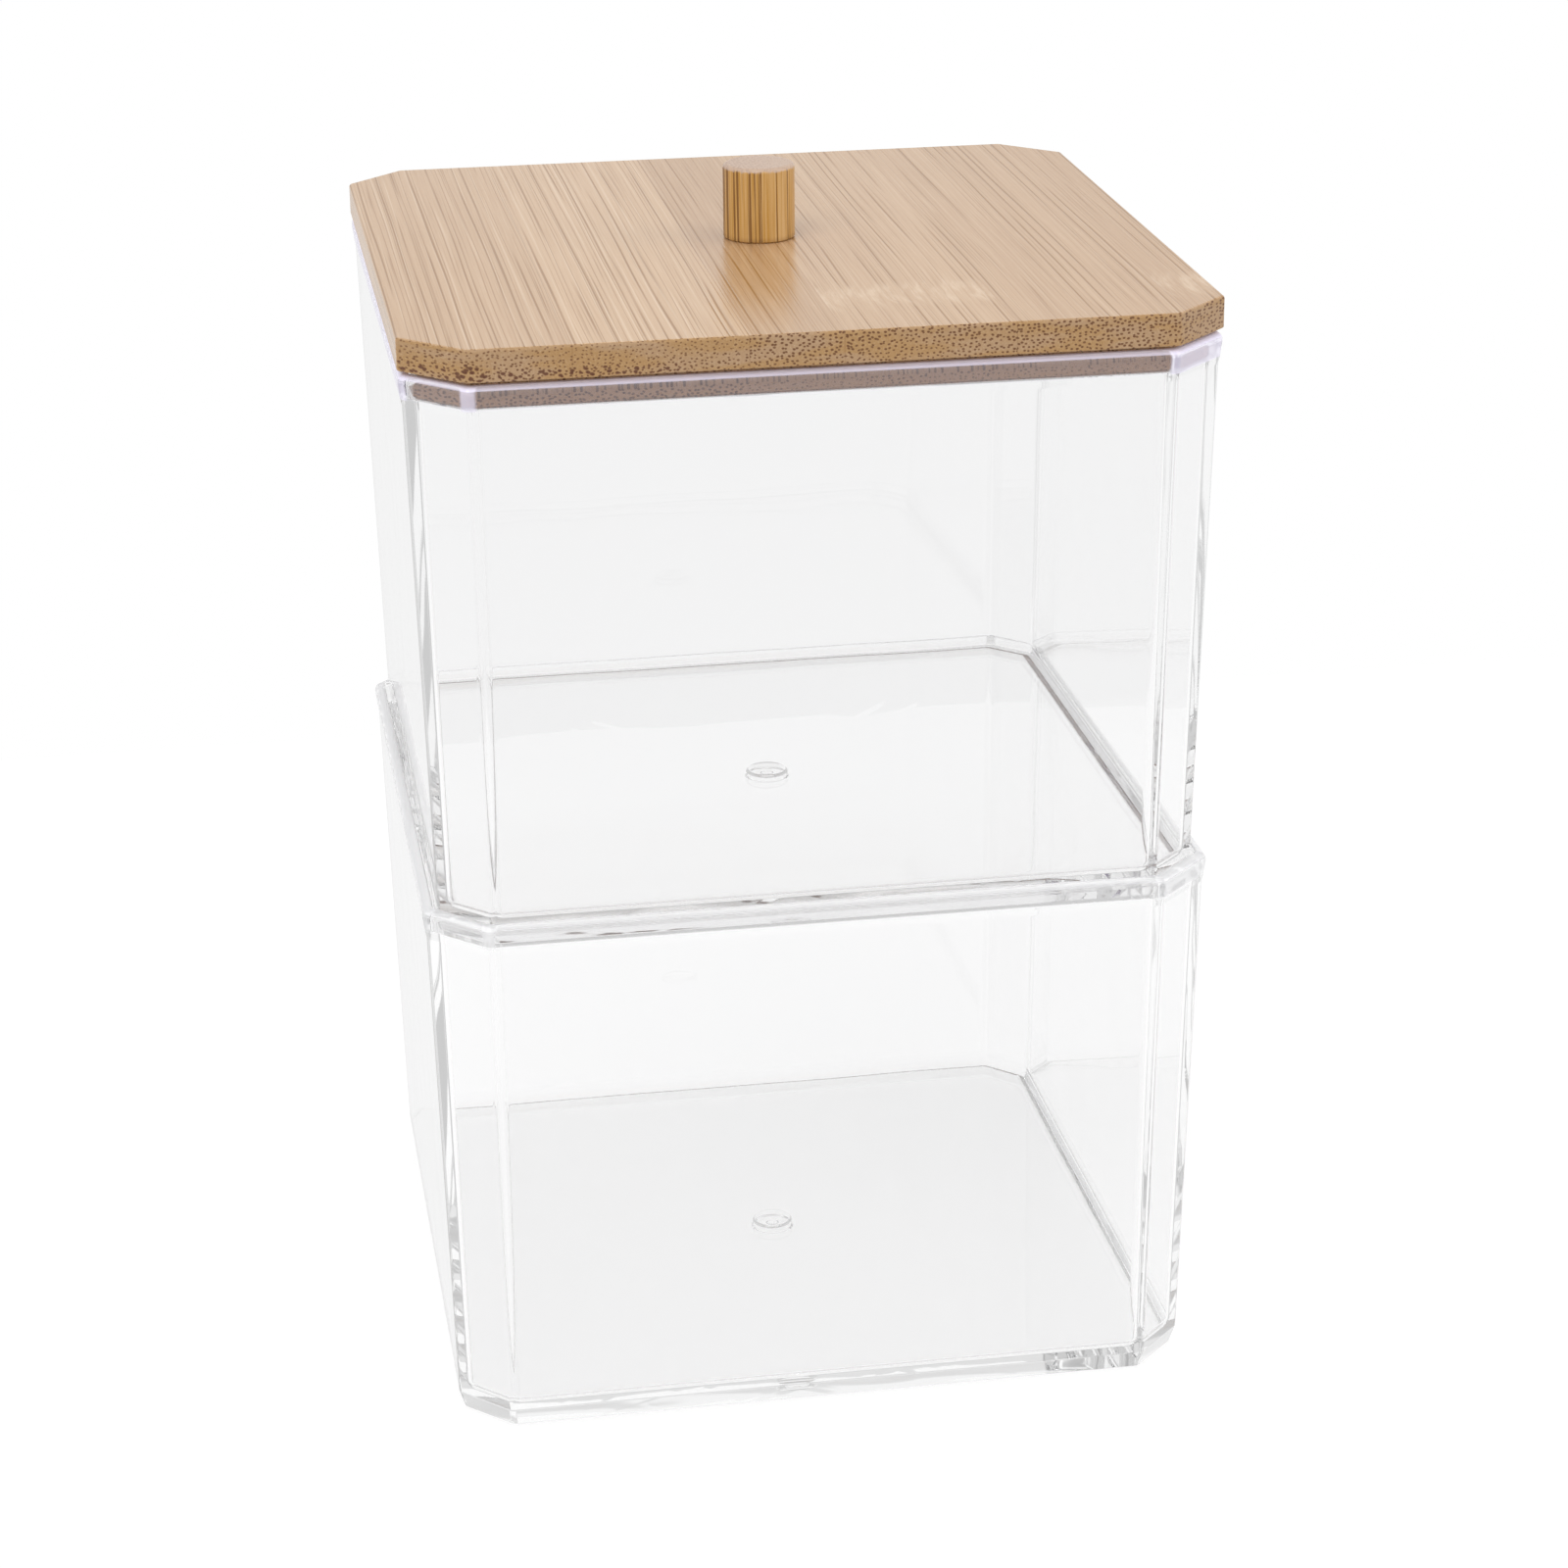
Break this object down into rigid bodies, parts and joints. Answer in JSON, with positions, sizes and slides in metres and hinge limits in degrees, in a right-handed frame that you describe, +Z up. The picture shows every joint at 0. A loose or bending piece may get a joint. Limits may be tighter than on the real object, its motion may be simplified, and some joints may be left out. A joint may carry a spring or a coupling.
{
  "type": "stacking cotton pad holder",
  "caption": "Stacking cotton pad holder: clear square boxes with cut corners nest foot in mouth, under a lift-off bamboo lid with a dowel knob.",
  "frame": {"origin": "centre of the lower box's foot, on the surface that it stands on", "axes": "+Z up through the boxes and the knob, front face looks along -Y, +X to the right as seen from the front"},
  "size_m": [0.1, 0.1, 0.1531],
  "materials": {
    "clear_plastic": "polished clear",
    "bamboo_board": "sanded bamboo, light satin",
    "bamboo_dowel": "sanded bamboo dowel",
    "screw_steel": "zinc plated"
  },
  "bodies": {
    "lower_tier": {"lower_box": "clear_plastic"},
    "upper_tier": {"upper_box": "clear_plastic"},
    "lid": {"lid_board": "bamboo_board", "lid_knob": "bamboo_dowel", "knob_screw": "screw_steel"}
  },
  "joints": [
    {"name": "upper_box_lift", "type": "slide", "parent": "lower_tier", "child": "upper_tier", "axis": [0, 0, 1], "range_m": [0, 0.09]},
    {"name": "lid_lift", "type": "slide", "parent": "upper_tier", "child": "lid", "axis": [0, 0, 1], "range_m": [0, 0.08]}
  ]
}
